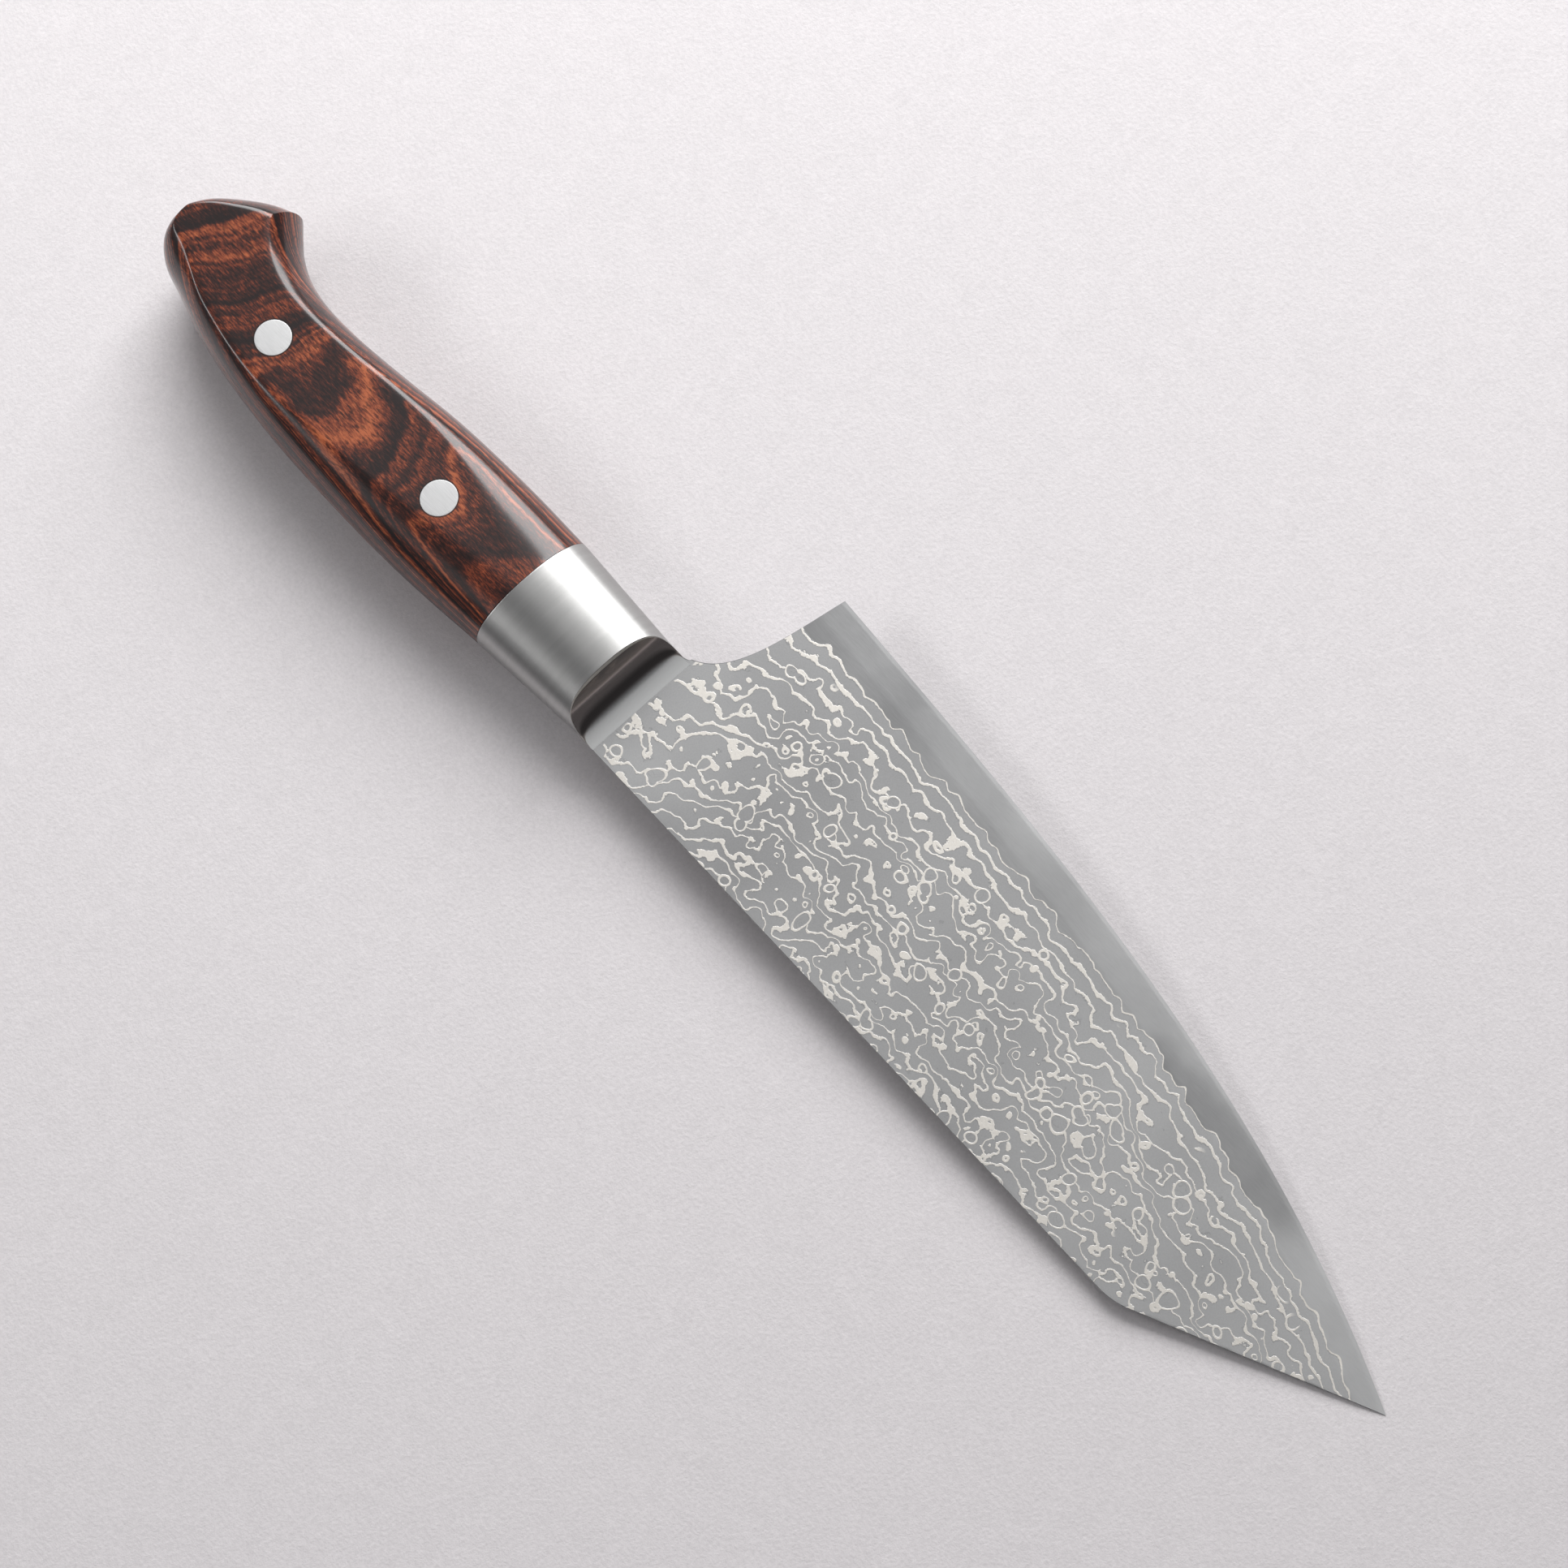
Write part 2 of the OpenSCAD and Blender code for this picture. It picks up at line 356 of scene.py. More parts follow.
# The core: flat under the claddings, then out along the bare strip to the edge.
def coreRings():
    x, back, front = blankColumns()
    sides = []
    for seed in (11, 23):
        line = np.clip(stripLine(x) + scallops(x, seed), back, np.maximum(front - 0.02, back))
        flat = bladeHalf(x, stripLine(x)) - blade["coreGap"]
        flat = np.minimum(flat, bladeHalf(x, line))
        share = np.concatenate([np.linspace(0, 0.86, 18), np.linspace(0.88, 1, 10)])
        yStrip = line[:, None] + (front - line)[:, None] * share
        zStrip = np.minimum(bladeHalf(x[:, None], yStrip), flat[:, None] + 0.02)
        yFlat = back[:, None] + (line - back)[:, None] * np.array([0, 0.3, 0.7, 0.97])
        zFlat = np.broadcast_to(flat[:, None], yFlat.shape)
        sides.append((np.hstack([yFlat, yStrip]), np.hstack([zFlat, zStrip])))
    y = np.hstack([sides[0][0], sides[1][0][:, ::-1]])
    z = np.hstack([sides[0][1], -sides[1][1][:, ::-1]])
    return np.stack([np.broadcast_to(x[:, None], y.shape), y, z], -1)


# A cladding: up the eased spine, down the ground face to the scalloped line, and back
# along the core. Its marks are the depth below the even border, in millimetres, bent
# by the scallops where it is small.
def claddingRings(side, seed):
    x, back, front = blankColumns()
    base = stripLine(x)
    line = base + scallops(x, seed)
    end = np.minimum(line, front)
    keep = np.cumsum((x > 150) & (end <= back)) <= 1
    x, back, front, base, line, end = (v[keep] for v in (x, back, front, base, line, end))
    end = np.maximum(end, back)
    core = np.minimum(bladeHalf(x, base), bladeHalf(x, line)) - blade["coreGap"]
    width = (end - back)[:, None]
    ease = blade["spineEase"]
    openEdge = 0.22 * softStep(0.3, 0.6, (line - front))[:, None]
    share = np.linspace(0, 1, 118)[1:-1]
    yFace = back[:, None] + ease + np.maximum(width - ease, 0) * share
    yFace = np.minimum(yFace, end[:, None] - 0.6 * openEdge)
    topBack = bladeHalf(x, back)[:, None]
    turn = np.radians([0, 30, 60])
    rise = np.minimum(ease, topBack - core[:, None])
    yWall = np.hstack([back[:, None], back[:, None] + ease * (1 - np.cos(turn))])
    zWall = np.hstack([core[:, None], topBack - rise * (1 - np.sin(turn))])
    yWall = np.minimum(yWall, end[:, None])
    zFace = bladeHalf(x[:, None], yFace)
    yEnd = np.hstack([end[:, None], end[:, None]])
    zEnd = np.hstack([bladeHalf(x, end)[:, None] - openEdge, core[:, None]])
    zEnd[:, 0] = np.maximum(zEnd[:, 0], core)
    yUnder = end[:, None] - width * np.array([0.33, 0.67])
    zUnder = np.broadcast_to(core[:, None], yUnder.shape)
    y = np.hstack([yWall, yFace, yEnd, yUnder])
    z = np.hstack([zWall, np.maximum(zFace, core[:, None]), zEnd, zUnder])
    depth = line[:, None] - y
    wave = (line - base)[:, None]
    layer = base[:, None] - y + wave * np.exp(-np.maximum(depth, 0) / 5)
    return np.stack([np.broadcast_to(x[:, None], y.shape), y, side * z], -1), layer


coreFinish = {
    "hazeMiddle": (142, 21),
    "hazeReach": (38, 7),
    "hazeStart": (133.5, 138.5),  # the haze comes in between these two along the blade
    "dark": (0.15, 0.151, 0.154),
    "light": (0.57, 0.57, 0.57),
}


# The bare core: fine polishing lines, a hazy patch that is an oval with a cloudy border,
# and painted shade that darkens it towards the heel and lightens it towards the tip.
def coreSteel():
    shader = Shader("coreSteel", Metallic=1.0)
    place = shader.place()
    clouds = shader.noise(place, 22, 3)
    polish = shader.noise(shader.squeezed(place, (0.05, 1, 1)), 0.12, 3, 0.6)
    x, y = shader.axes(place)[:2]
    dx, dy = ((v - middle) / reach for v, middle, reach in
              zip((x, y), coreFinish["hazeMiddle"], coreFinish["hazeReach"]))
    haze = 1 - (dx * dx + dy * dy + clouds - 0.5).step(0.1, 1.2)
    haze = haze * (x + clouds * 6).step(*coreFinish["hazeStart"])
    # The two x steps are painted light and shade: they darken the heel end and lighten the tip end for how
    # the light falls along the blade.
    shade = clouds * 0.4 + polish * 0.15 - haze * 0.2 + x.step(25, 100) * 0.24 + x.step(95, 215) * 0.22
    shader.feed("Base Color", shader.ramp(shade, (0.1, coreFinish["dark"]), (0.9, coreFinish["light"])))
    shader.feed("Roughness", polish * 0.1 + 0.36 - haze * 0.03)
    shader.bump(polish, 0.000004)
    return shader.material


layering = {
    "layerStep": 1.75,      # distance between two layers at the border
    "thinning": 0.83,       # below 1 the layers lie wider apart away from the border
    "dimples": ((4.3, 0.78, 3.7), (5.6, -0.88, 9.1), (7.7, 1.2, 15.3)),  # spacing, height, shift
    "dimpleRadius": 1.45,
    "ragged": 0.29,         # how rough a line's border is, in layers
    "lineHalf": 0.078,      # half width of a thin line, in layers
    "lineMore": 0.075,      # and how much more a broad one has
    "ringCell": 4.4,        # spacing of the rings
    "plainFront": (29.6, 30.0),  # no figure shows before this along the blade
    "dark": (0.26, 0.26, 0.262),
    "light": (0.455, 0.455, 0.455),
    "nickelDark": (0.71, 0.68, 0.635),
    "nickelLight": (0.83, 0.795, 0.74),
    "etchedRim": (0.12, 0.12, 0.12, 1),
}


# The etched layers: a field that counts the layers down from the strip, with dimples
# and waves that grow away from it. Nickel shows where the field passes a whole number.
def layeredSteel(name, seed):
    shader = Shader(name, Metallic=1.0)
    place = shader.place()
    x = shader.axes(place)[0]
    layer = shader.marks()
    away = layer.step(0.5, 12.0)
    near = layer.step(0.1, 1.6)
    moved = shader.squeezed(place, (0.8, 1, 1), 0, (seed * 7.3, seed * 3.1, seed * 5.7))
    waves = shader.noise(moved, 6.5, 0.0) - 0.5
    bends = shader.noise(moved, 2.6, 1.0, 0.4) - 0.5
    ragged = shader.noise(place, 0.6, 3, 0.7) - 0.5
    field = (layer.most(0.0) / layering["layerStep"] + 0.08) ** layering["thinning"] + 0.31
    field = field + waves * (away * 2.8 + near * 0.3) + bends * (away * 1.7 + near * 0.8)
    for size, height, shift in layering["dimples"]:
        dimple = shader.squeezed(place, (1, 1, 1), 0, (seed * 2.3 + shift, seed * 4.1, shift))
        cone = (layering["dimpleRadius"] / size - shader.cells(dimple, size)).most(0.0) * size
        field = field + cone * height * (away * 0.7 + near * 0.2)
    field = field * (x.step(26, 64) * 0.42 + 0.58)
    middle = abs((field + ragged * layering["ragged"]).part() - 0.5)
    wide = shader.noise(moved, 4, 1.0).step(0.4, 0.72) * layering["lineMore"] + layering["lineHalf"]
    nickel = 1 - (middle - wide).step(-0.015, 0.02)
    rim = 1 - abs(middle - wide - 0.035).step(0.0, 0.03)
    spot = shader.squeezed(place, (1, 1, 1), 0, (seed * 3.7, seed * 2.9, 4.4))
    reach = (shader.cells(spot, layering["ringCell"]) + ragged * 0.07) * layering["ringCell"]
    radius = (shader.noise(moved, 3.4, 0.0) - 0.41) * 5.4
    shown = radius.step(0.35, 0.5) * layer.step(2.5, 4.0)
    nickel = nickel * (1 - (1 - (reach - radius).step(0.0, 0.1)) * shown)
    nickel = nickel.most((1 - abs(reach - radius).step(0.15, 0.24)) * shown)
    nickel = nickel * (x + waves * 3.0 + ragged * 0.3).step(*layering["plainFront"])
    grain = shader.noise(place, 0.25, 2)
    clouds = shader.noise(place, 26, 2)
    # The x steps are painted light and shade: darker towards the heel, lighter towards the tip, and a lighter
    # stretch just in front of the bolster.
    shade = grain * 0.3 + clouds * 0.7 + x.step(30, 215) * 0.45 + x.step(62, 30) * 0.16 - 0.21
    steel = shader.ramp(shade, (0.1, layering["dark"]), (0.9, layering["light"]))
    bright = shader.ramp(grain, (0.2, layering["nickelDark"]), (0.8, layering["nickelLight"]))
    colour = shader.mix(rim * 0.3, steel, layering["etchedRim"])
    shader.feed("Base Color", shader.mix(nickel, colour, bright))
    shader.feed("Roughness", 0.48 - nickel * 0.08 + grain * 0.06)
    shader.bump(nickel * 0.8 + grain * 0.15, 0.00002)
    return shader.material


coreMaterial = coreSteel()
makePiece("blade_core_visual", coreRings(), coreMaterial, ["blade_core"], capStart=True)
for sideName, side, seed in (("left", 1, 11), ("right", -1, 23)):
    rings, layer = claddingRings(side, seed)
    material = layeredSteel("layeredSteel" + sideName.capitalize(), seed)
    makePiece("cladding_" + sideName + "_visual", rings, material, ["cladding_" + sideName],
              marks=layer, capStart=True)
print("blade ready")


# The bolster: two halves on the blank, with a finger scoop in front.
bolster = {
    "length": 29,
    "back": 12.1,         # half heights at the seam
    "belly": 13.25,
    "neckBelly": 12.15,
    "neckX": 24,          # where the oval has come down to the neck
    "half": 8.4,          # half thickness at the seam
    "taper": 1.52,        # and how much less it is after the full length
    "scoopRadius": 8,
    "ovalPower": 2.15,    # 2 is an ellipse, more is squarer
    "seamEase": 0.12,
    "gap": 0.006,         # between the scoop's floor and the blade's face
    "satinDark": (0.32, 0.32, 0.314),
    "satinLight": (0.54, 0.535, 0.527),
    "hollowDark": (0.55, 0.475, 0.445),
    "hollowLight": (0.65, 0.585, 0.555),
    # painted dark reflection across the hollow
    "paintedDarkReflection": (0.12, 0.11, 0.105, 1),
    "lip": (0.66, 0.665, 0.66, 1),
    # painted highlight along the hollow's rim
    "rim": (0.95, 0.92, 0.86, 1),
}


# One bolster half: the oval out to the rim of the scoop, the scoop as a round hollow
# that feathers out on the blade, and the underside on the blank.
def bolsterRings(side):
    angle = np.linspace(0, math.pi, 97)
    across = np.sign(np.cos(angle)) * np.abs(np.cos(angle)) ** (2 / bolster["ovalPower"])
    up = np.abs(np.sin(angle)) ** (2 / bolster["ovalPower"])
    up[0] = up[-1] = 0

    def oval(x):
        toNeck = np.clip(x / bolster["neckX"], 0, 1)
        low = -bolster["back"] + (bolster["back"] + blade["spineY"]) * toNeck
        high = bolster["belly"] + (bolster["neckBelly"] - bolster["belly"]) * toNeck
        half = bolster["half"] - bolster["taper"] * x / bolster["length"]
        return (low + high) / 2 - across * (high - low) / 2, half * up

    def hollow(x, y):
        floorZ = bladeHalf(np.full_like(y, blade["neckX"]), y) + bolster["gap"]
        reach = np.clip(bolster["length"] - x, 0, bolster["scoopRadius"])
        return floorZ + bolster["scoopRadius"] - np.sqrt(bolster["scoopRadius"] ** 2 - reach ** 2)

    rim = np.full_like(angle, 22.0)
    for _ in range(60):
        y, z = oval(rim)
        floorZ = bladeHalf(np.full_like(y, blade["neckX"]), y) + bolster["gap"]
        drop = np.clip(bolster["scoopRadius"] - (z - floorZ), 0, bolster["scoopRadius"])
        wanted = bolster["length"] - np.sqrt(bolster["scoopRadius"] ** 2 - drop ** 2)
        rim = rim + 0.5 * (np.where(z <= floorZ, bolster["length"], wanted) - rim)
    columns = []
    marks = []
    for share in np.concatenate([[0, 0.004, 0.008, 0.014], np.linspace(0.03, 0.98, 40), [0.99, 1.0]]):
        marks.append(0)
        x = share * rim
        y, z = oval(x)
        inset = bolster["seamEase"] * max(0.0, 1 - share / 0.008) ** 2
        middle = (y.max() + y.min()) / 2
        y = middle + (y - middle) * (1 - inset / 12)
        columns.append(np.stack([x, y, z * (1 - inset / 8)], -1))
    yRim, zRim = oval(rim)
    for share in np.linspace(0, 1, 60)[1:] ** 1.25:
        marks.append(min(1.0, share / 0.028) + share)
        x = rim + (bolster["length"] - rim) * share
        columns.append(np.stack([x, yRim, np.minimum(hollow(x, yRim), zRim)], -1))
    top = np.array(columns)
    share = np.concatenate([[0, 0.02, 0.021], np.linspace(0.05, 0.95, 10), [0.979, 0.98, 1]])[1:-1]
    first, last = top[:, :1], top[:, -1:]
    under = last + (first - last) * share[None, :, None]
    blank = bladeHalf(np.full_like(under[..., 1], blade["neckX"]), under[..., 1]) - 0.002
    inside = (share > 0.0205) & (share < 0.9795)
    under[..., 2] = np.where(inside[None, :], blank, 0)
    rings = np.concatenate([top, under], axis=1)
    rings[..., 2] *= side
    return rings, np.broadcast_to(np.array(marks)[:, None], rings.shape[:2])


# Satin steel brushed around the bolster, with a polished hollow. A dark band across the hollow is a painted
# reflection, and a pale line along its rim is a painted highlight.
# The marks are 0 on the oval, pass 1 at the hollow's rim and reach 2 where it feathers out.
def brushedSteel():
    shader = Shader("brushedSteel", Metallic=1.0)
    place = shader.place()
    lines = shader.noise(shader.squeezed(place, (1, 0.012, 0.012)), 0.09, 4, 0.7)
    wide = shader.noise(shader.squeezed(place, (1, 0.05, 0.05)), 0.9, 2)
    along = shader.marks()
    polished = along.step(0.6, 1.0)
    # Painted highlight: a pale, rougher line along the hollow's rim stands in for the light its rounded edge
    # would catch.
    rim = 1 - abs(along - 0.5).step(0.3, 0.5)
    shade = lines * 0.5 + wide * 0.3 + 0.1
    satin = shader.ramp(shade, (0, bolster["satinDark"]), (1, bolster["satinLight"]))
    streaks = shader.noise(shader.squeezed(place, (1, 0.03, 1)), 0.5, 3)
    mirror = shader.ramp(streaks, (0.2, bolster["hollowDark"]), (0.8, bolster["hollowLight"]))
    # Painted reflection: a dark band across the hollow, just short of the lip, stands in for the dark
    # surroundings it mirrors.
    paintedDarkBand = 1 - abs(along - 1.44).step(0.03, 0.19)
    mirror = shader.mix(paintedDarkBand * 0.85, mirror, bolster["paintedDarkReflection"])
    lip = along.step(1.5, 1.6)
    mirror = shader.mix(lip, mirror, bolster["lip"])
    colour = shader.mix(rim, shader.mix(polished, satin, mirror), bolster["rim"])
    shader.feed("Base Color", colour)
    shader.feed("Roughness", (0.32 + lines * 0.1) - polished * 0.19 + rim * 0.25 + lip * 0.06)
    shader.bump(lines * (1 - polished), 0.00001)
    return shader.material


bolsterMaterial = brushedSteel()
for sideName, side in (("left", 1), ("right", -1)):
    rings, marks = bolsterRings(side)
    makePiece("bolster_" + sideName + "_visual", rings, bolsterMaterial,
              ["bolster_" + sideName], marks=marks, capStart=True)
print("bolster ready")


# The handle: two halves of pressed wood.
handle = {
    "top": handleTop - 0.03,   # the rivets stand this much proud of the wood
    "power": 2.15,
    "columns": 250,
    "tangPocket": 1.15,
    # outline x, y, edge of the flat face x, y and height of the side's full round,
    # from the seam along the back to the butt
    "back": [
        (0, -12.1, 0, -0.6, 8.37), (-12, -13.25, -12, -2.6, 8.38), (-24, -14.0, -24, -4.9, 8.4),
        (-38, -14.2, -38, -7.4, 8.5), (-52, -13.95, -52, -8.9, 8.75), (-62, -13.2, -62, -9.2, 9.0),
        (-69.2, -12.4, -69.2, -8.7, 9.2), (-75.9, -11.3, -75.9, -7.5, 9.3), (-81.2, -9.95, -81.2, -6.2, 9.3),
        (-86.8, -8.3, -86.4, -4.0, 9.2), (-91.8, -6.9, -90.4, -2.3, 9.1), (-94.9, -4.8, -93.7, -1.5, 9.0),
        (-96.3, -2.2, -94.8, -0.1, 8.9), (-96.5, 1.0, -95.2, 1.5, 8.8),
    ],
    # on round the butt to its beak
    "butt": [
        (-96.5, 1.0, -95.2, 1.5, 8.8), (-96.1, 4.6, -95.0, 3.3, 8.8), (-94.4, 8.1, -92.6, 6.4, 8.8),
        (-90.2, 12.2, -88.9, 9.2, 8.9), (-86.2, 15.1, -85.8, 11.1, 9.0), (-82.3, 16.95, -83.3, 12.1, 9.2),
    ],
    # and along the belly to the seam
    "belly": [
        (-82.3, 16.95, -83.3, 12.1, 9.2), (-79.4, 14.6, -79.2, 8.5, 9.3), (-76.4, 12.4, -75.5, 6.7, 9.3),
        (-71.6, 10.3, -70.6, 5.5, 9.3), (-65.6, 9.35, -64.6, 5.2, 9.2), (-58.6, 9.35, -58.2, 5.5, 9.1),
        (-51.8, 9.9, -51.4, 6.1, 9.0), (-43.8, 10.8, -43.6, 7.0, 8.9), (-33.1, 12.15, -33, 7.6, 8.7),
        (-23.2, 12.85, -23, 6.8, 8.5), (-12, 13.25, -12, 4.2, 8.4), (0, 13.25, 0, 1.2, 8.37),
    ],
}


# Resamples rows of knots at even steps along their outline.
def alongRows(rows, count):
    rows = np.array(rows, float)
    t = np.arange(len(rows))
    fine = np.linspace(0, t[-1], 2000)
    path = np.stack([smoothCurve(t, rows[:, k], fine) for k in range(rows.shape[1])], -1)
    steps = np.hypot(*np.diff(path[:, :2], axis=0).T)
    length = np.concatenate([[0], np.cumsum(steps)])
    even = np.linspace(0, length[-1], count)
    return np.stack([np.interp(even, length, path[:, k]) for k in range(path.shape[1])], -1)


# Half of the handle. A section climbs the side from the outline at the mid-plane as a
# round that would be level at its full height, crosses the flat face and goes down the
# other side. The ridges are eased by averaging neighbours.
def scaleRings(side):
    count = handle["columns"]
    nButt = 58
    back = alongRows(handle["back"], count)
    belly = np.concatenate([alongRows(handle["butt"], nButt)[:-1],
                            alongRows(handle["belly"], count - nButt + 1)])[::-1]
    top = handle["top"]
    rise = np.sin(np.linspace(0, math.pi / 2, 34))
    height = rise * top

    def wall(rows):
        full = rows[:, 4][:, None]
        p = handle["power"]
        inset = 1 - (1 - (height / full) ** p) ** (1 / p)
        inset = inset / inset[:, -1:]
        x = rows[:, 0][:, None] + (rows[:, 2] - rows[:, 0])[:, None] * inset
        y = rows[:, 1][:, None] + (rows[:, 3] - rows[:, 1])[:, None] * inset
        return np.stack([x, y, np.broadcast_to(height, x.shape)], -1)

    first, second = wall(back), wall(belly)
    share = np.linspace(0, 1, 42)[1:-1][None, :, None]
    face = first[:, -1:] + (second[:, -1:] - first[:, -1:]) * share
    section = np.concatenate([first, face, second[:, ::-1]], axis=1)
    for _ in range(16):
        section[:, 1:-1] = 0.25 * section[:, :-2] + 0.5 * section[:, 1:-1] + 0.25 * section[:, 2:]
    under = section[:, -1:] + (section[:, :1] - section[:, -1:]) * np.linspace(0, 1, 26)[1:-1][None, :, None]
    inTang = (under[..., 0] > -82) & (under[..., 1] > -6.7) & (under[..., 1] < 5.5 + 0.043 * under[..., 0])
    under[..., 2] = np.where(inTang, handle["tangPocket"], 0)
    rings = np.concatenate([section, under], axis=1)
    rings[..., 2] *= side
    return rings


woodFinish = {
    "tones": [(0.33, (0.014, 0.008, 0.008)), (0.47, (0.05, 0.015, 0.011)),
              (0.57, (0.17, 0.036, 0.017)), (0.74, (0.43, 0.115, 0.045))],
    "pore": (0.012, 0.006, 0.005, 1),
    "rivetGapShade": (0.01, 0.005, 0.004, 1),
    "gapShadeRadius": (3.75, 3.5),  # the painted shade of the gap round a rivet fades between these two radii
    "grainTurn": -14,
}


# Pressed veneers: the ply that shows depends on the height above the mid-plane and on
# how the stack waves below the surface. Sides show thin plies, the faces broad bands.
def pressedWood():
    shader = Shader("pressedWood", Coat_Weight=1.0, Coat_Roughness=0.19, Specular_IOR_Level=0.1)
    place = shader.place()
    x, y, z = shader.axes(place)
    warp = shader.noise(shader.squeezed(place, (0.8, 1, 0.2)), 19, 1, 0.4) - 0.5
    small = shader.noise(shader.squeezed(place, (0.35, 1, 0.4)), 3.2, 2, 0.5) - 0.5
    front = x.step(-46, -14)
    across = (y + 1.5 - front * 3.0).most(-9.0).least(8.0)
    bow = across * across * (front * 0.008 + 0.005)
    wave = bow + x * 0.085 - front * (x + 30) * 0.012 + (x + 60).least(0.0) * 0.12
    wave = wave - y * x.step(-48, -72) * 0.13
    height = abs(z)
    face = height.step(5.5, 8.7)
    ply = height + wave + (warp * (2.4 - front * 0.8) + small * 0.4) * (face * 0.7 + 0.3)
    band = shader.plies(ply + 3.0, 1.0, 2.5, 0.6)
    thin = shader.plies(ply + 9.0, 3.4, 1.0, 0.5)
    lean = shader.squeezed(place, (0.2, 1, 0.6), woodFinish["grainTurn"])
    fibre = shader.noise(lean, 0.32, 3, 0.75)
    porous = shader.squeezed(place, (0.22, 1, 0.5), woodFinish["grainTurn"])
    pores = 1 - shader.noise(porous, 0.42, 1, 0.5).step(0.36, 0.45)
    glow = shader.noise(shader.squeezed(place, (1, 0.6, 0.5), 20), 7, 2)
    tone = band - 0.02 + (fibre - 0.5) * (face * 0.45 + 0.35) + (glow - 0.5) * 0.16
    tone = tone + (thin - 0.5) * (0.55 - face * 0.45)
    colour = shader.ramp(tone, *woodFinish["tones"])
    # Painted shade: a dark ring round each rivet stands in for the shadow in the gap between the rivet's head
    # and the wood.
    ring = None
    for rx, ry in rivetPlaces:
        dx, dy = x - rx, y - ry
        distance = (dx * dx + dy * dy) ** 0.5
        mark = distance.step(*woodFinish["gapShadeRadius"])
        ring = mark if ring is None else ring.most(mark)
    colour = shader.mix(pores * 0.6, colour, woodFinish["pore"])
    colour = shader.mix(ring * 0.85, colour, woodFinish["rivetGapShade"])
    shader.feed("Base Color", colour)
    shader.feed("Roughness", 0.42 + fibre * 0.2)
    shader.bump(fibre * 0.5 - pores * 0.4, 0.00001)
    return shader.material


woodMaterial = pressedWood()
for sideName, side in (("left", 1), ("right", -1)):
    makePiece("scale_" + sideName + "_visual", scaleRings(side), woodMaterial,
              ["scale_" + sideName], capStart=True)
print("handle ready")


# The rivets: a sleeve from the left and a pin from the right.
rivet = {
    "headRadius": 3.45,
    "headThickness": 3.0,
    "barrelRadius": 2.3,
    "shankRadius": 1.6,
    "ease": 0.12,          # roundness of the head's rim
    "dome": 0.02,
    "play": 0.05,          # between the shank and the barrel
    "dark": (0.50, 0.50, 0.50),
    "light": (0.66, 0.66, 0.66),
}


# A profile of (radius, height) pairs turned around the rivet's axis.
def turnedRings(profile, place, side):
    profile = np.array(profile, float)
    angle = np.linspace(0, 2 * math.pi, 73)[:-1]
    r = profile[:, 0][:, None]
    x = place[0] + r * np.cos(angle)
    y = place[1] + r * np.sin(angle)
    z = np.broadcast_to(profile[:, 1][:, None] * side, x.shape)
    return np.stack([x, y, z], -1)


# A rivet head from its middle out: a shallow crown, a quarter round and the rim.
def headProfile():
    turn = np.radians(np.linspace(0, 90, 7))
    ease = rivet["ease"]
    crown = [(rivet["headRadius"] * s, handleTop - rivet["dome"] * s * s) for s in (0, 0.25, 0.5, 0.75, 0.93)]
    rim = [(rivet["headRadius"] - ease + ease * math.sin(a),
            handleTop - rivet["dome"] - ease * (1 - math.cos(a))) for a in turn]
    return crown + rim + [(rivet["headRadius"], handleTop - rivet["headThickness"])]


# Fine sanding lines that run straight across the head.
def sandedSteel():
    shader = Shader("sandedSteel", Metallic=1.0)
    place = shader.place()
    lines = shader.noise(shader.squeezed(place, (0.02, 1, 1), 40), 0.07, 3, 0.7)
    shader.feed("Base Color", shader.ramp(lines, (0.3, rivet["dark"]), (0.7, rivet["light"])))
    shader.feed("Roughness", lines * 0.2 + 0.36)
    shader.bump(lines, 0.000012)
    return shader.material


rivetMaterial = sandedSteel()
shoulder = handleTop - rivet["headThickness"]
barrelFoot = rivet["play"] - shoulder
bore = rivet["shankRadius"] + rivet["play"]
for placeName, place in zip(("front", "rear"), rivetPlaces):
    sleeve = headProfile() + [(rivet["barrelRadius"], shoulder), (rivet["barrelRadius"], barrelFoot),
                              (bore, barrelFoot), (bore, shoulder), (0, shoulder)]
    pin = headProfile() + [(rivet["shankRadius"], shoulder), (rivet["shankRadius"], barrelFoot),
                           (0, barrelFoot)]
    makePiece(placeName + "_rivet_sleeve_visual", turnedRings(sleeve, place, 1), rivetMaterial,
              [placeName + "_rivet_sleeve"])
    makePiece(placeName + "_rivet_pin_visual", turnedRings(pin, place, -1), rivetMaterial,
              [placeName + "_rivet_pin"])
print("rivets ready")


# Floor, light and camera.
studio = {
    "paper": (0.75, 0.717, 0.729),
    "floorHalf": 3.0,
    "slope": 0.04,  # the knife leans on its tip, so the floor rises towards it
    "worldColour": (0.095, 0.095, 0.1),
    "key": {"towards": (-0.54, 0.64, 0.54), "distance": 1.05, "size": (0.94, 0.7), "power": 17.2},
    "fill": {"towards": (-0.25, -0.66, 0.7), "distance": 1.6, "size": (1.3, 0.5), "power": 1.0},
    "top": {"towards": (-0.06, 0.28, 0.95), "distance": 1.6, "size": (1.5, 1.0), "power": 2.5},
    "rim": {"towards": (-0.66, -0.53, 0.53), "distance": 1.4, "size": (0.8, 0.24), "power": 4.4},
}


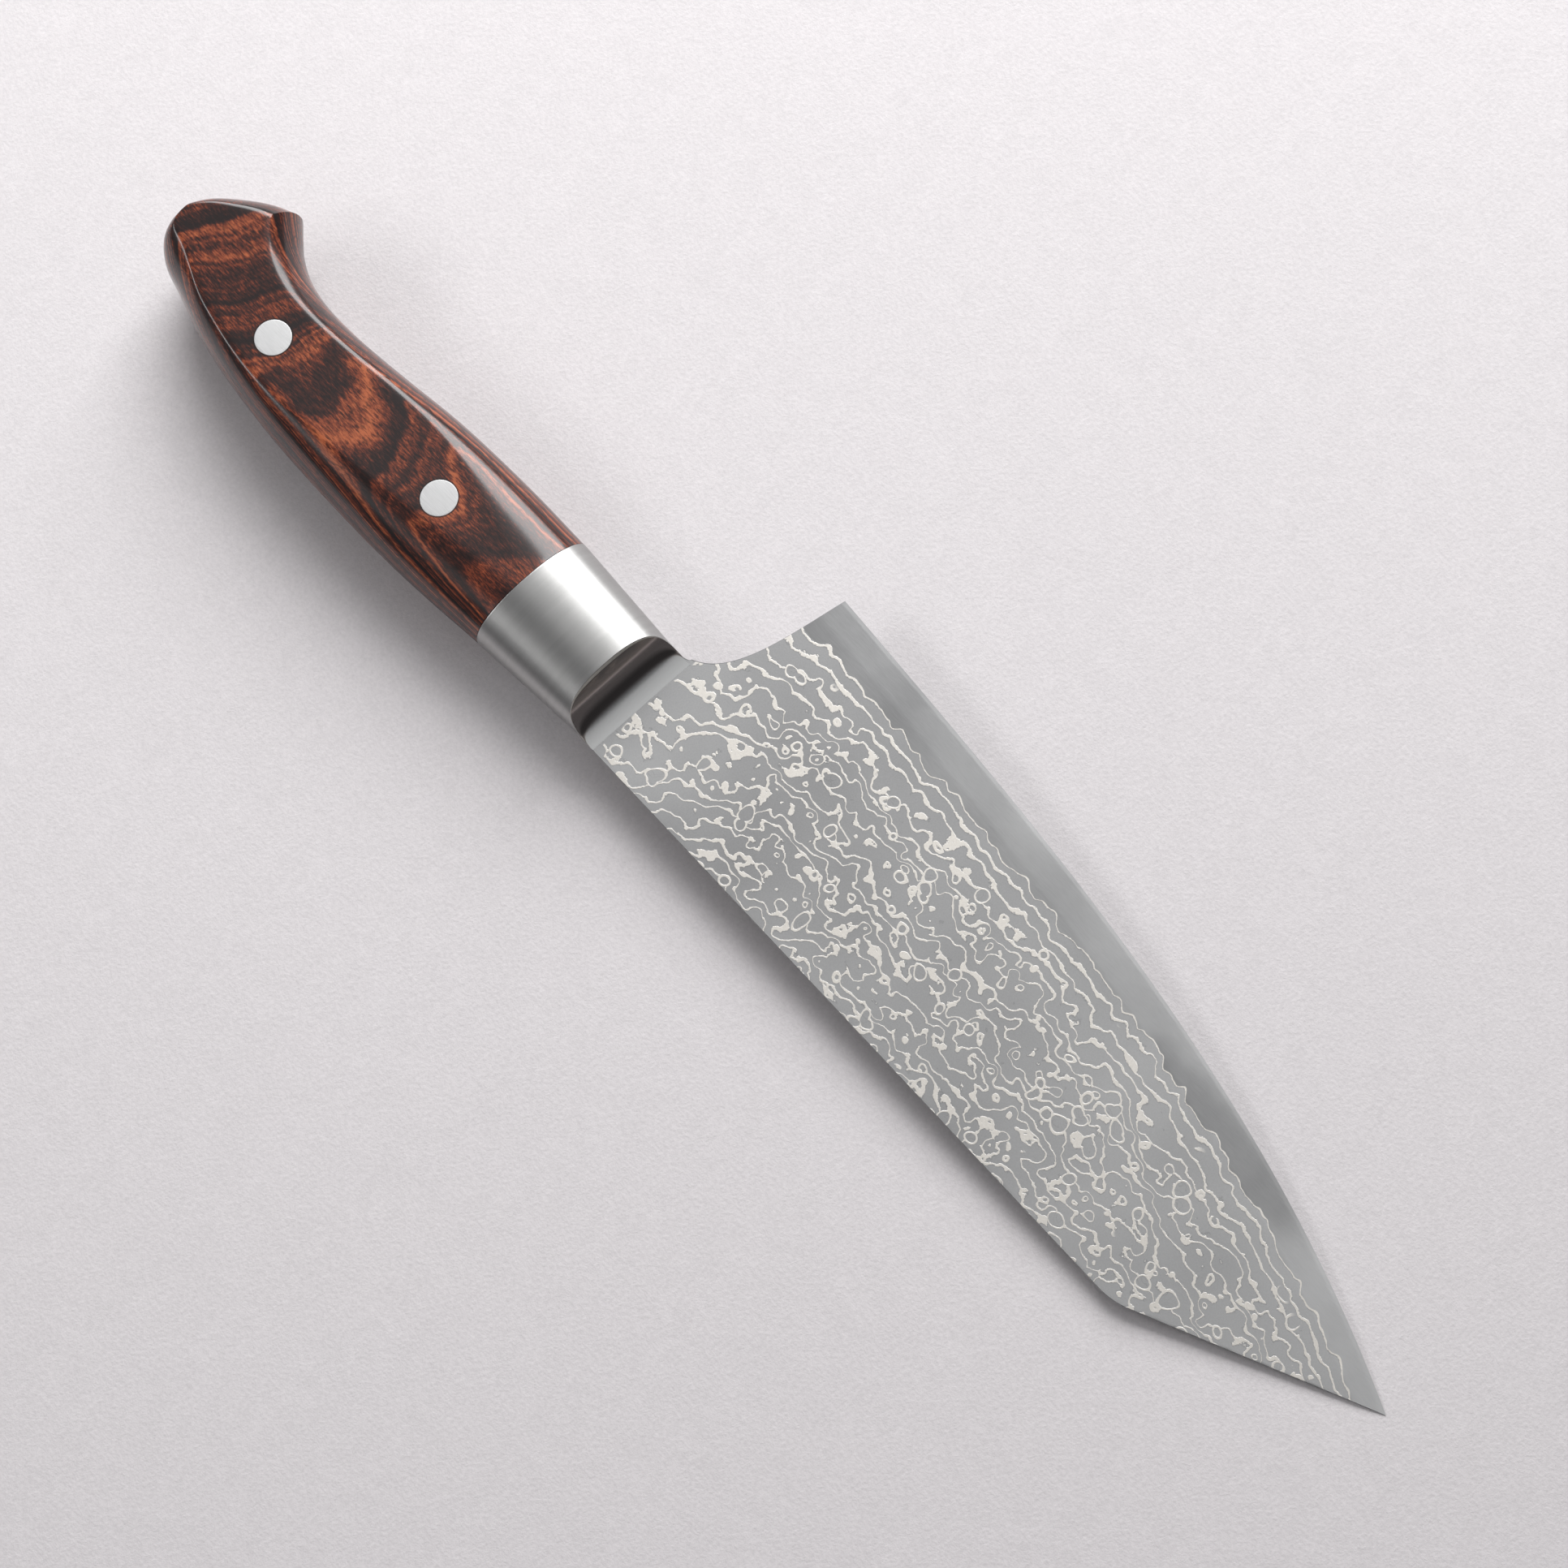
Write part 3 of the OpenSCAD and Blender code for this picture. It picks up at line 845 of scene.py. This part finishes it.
# One large square that rises evenly with x.
def makeFloor():
    mesh = bpy.data.meshes.new("floor")
    far = studio["floorHalf"]
    low = (-far - seamX) * studio["slope"]
    high = (far - seamX) * studio["slope"]
    corners = [(-far, -far, low), (far, -far, high), (far, far, high), (-far, far, low)]
    mesh.from_pydata(corners, [], [(0, 1, 2, 3)])
    shader = Shader("palePaper", Roughness=0.9)
    coordinates = shader.node("ShaderNodeTexCoord", output="Object")
    grain = shader.noise(coordinates, 0.0007, 3, 0.7)
    fibres = shader.noise(coordinates, 0.004, 2)
    paper = studio["paper"]
    dark = tuple(v * 0.86 for v in paper)
    shader.feed("Base Color", shader.ramp(grain * 0.8 + fibres * 0.2, (0.3, dark), (0.7, paper)))
    shader.bump(grain, 0.00015, 0.6)
    mesh.materials.append(shader.material)
    floor = bpy.data.objects.new("floor", mesh)
    bpy.context.scene.collection.objects.link(floor)
    return floor


# A lamp that stands in a direction from the knife and faces it.
def makeLight(name, plan):
    lamp = bpy.data.lights.new(name, "AREA")
    lamp.shape = "RECTANGLE"
    lamp.size, lamp.size_y = plan["size"]
    lamp.energy = plan["power"]
    light = bpy.data.objects.new(name, lamp)
    direction = Vector(plan["towards"]).normalized()
    light.location = aim + direction * plan["distance"]
    light.rotation_euler = direction.to_track_quat("Z", "Y").to_euler()
    bpy.context.scene.collection.objects.link(light)
    return light


cameraPlan = {
    "azimuth": -19.89,     # of the direction from the knife to the camera
    "elevation": 71.09,
    "roll": -22.66,
    "distance": 1.1127,
    "lens": 149.07,
    "aside": (0.00125, -0.00284, 0),  # the aim's distance from the middle of the knife
}
aim = (cadLow + cadHigh) / 2 + Vector(cameraPlan["aside"])


# The camera stands away from the aim by azimuth and elevation, turned by its roll.
def makeCamera():
    azimuth, elevation, roll = (math.radians(cameraPlan[key]) for key in ("azimuth", "elevation", "roll"))
    away = Vector((math.cos(elevation) * math.cos(azimuth), math.cos(elevation) * math.sin(azimuth),
                   math.sin(elevation)))
    level = Vector((0, 0, 1)).cross(away).normalized()
    above = away.cross(level)
    right = level * math.cos(roll) + above * math.sin(roll)
    up = above * math.cos(roll) - level * math.sin(roll)
    turned = Matrix((right, up, away)).transposed().to_4x4()
    data = bpy.data.cameras.new("camera")
    data.sensor_width = 36
    data.lens = cameraPlan["lens"]
    data.clip_start = 0.01
    camera = bpy.data.objects.new("camera", data)
    camera.matrix_world = Matrix.Translation(aim + away * cameraPlan["distance"]) @ turned
    bpy.context.scene.collection.objects.link(camera)
    bpy.context.scene.camera = camera


makeFloor()
for lightName in ("key", "fill", "top", "rim"):
    makeLight(lightName, studio[lightName])
world = bpy.data.worlds.new("studio")
world.use_nodes = True
world.node_tree.nodes["Background"].inputs["Color"].default_value = (*studio["worldColour"], 1)
bpy.context.scene.world = world
bpy.context.scene.view_settings.view_transform = "Standard"
makeCamera()
print("studio ready")
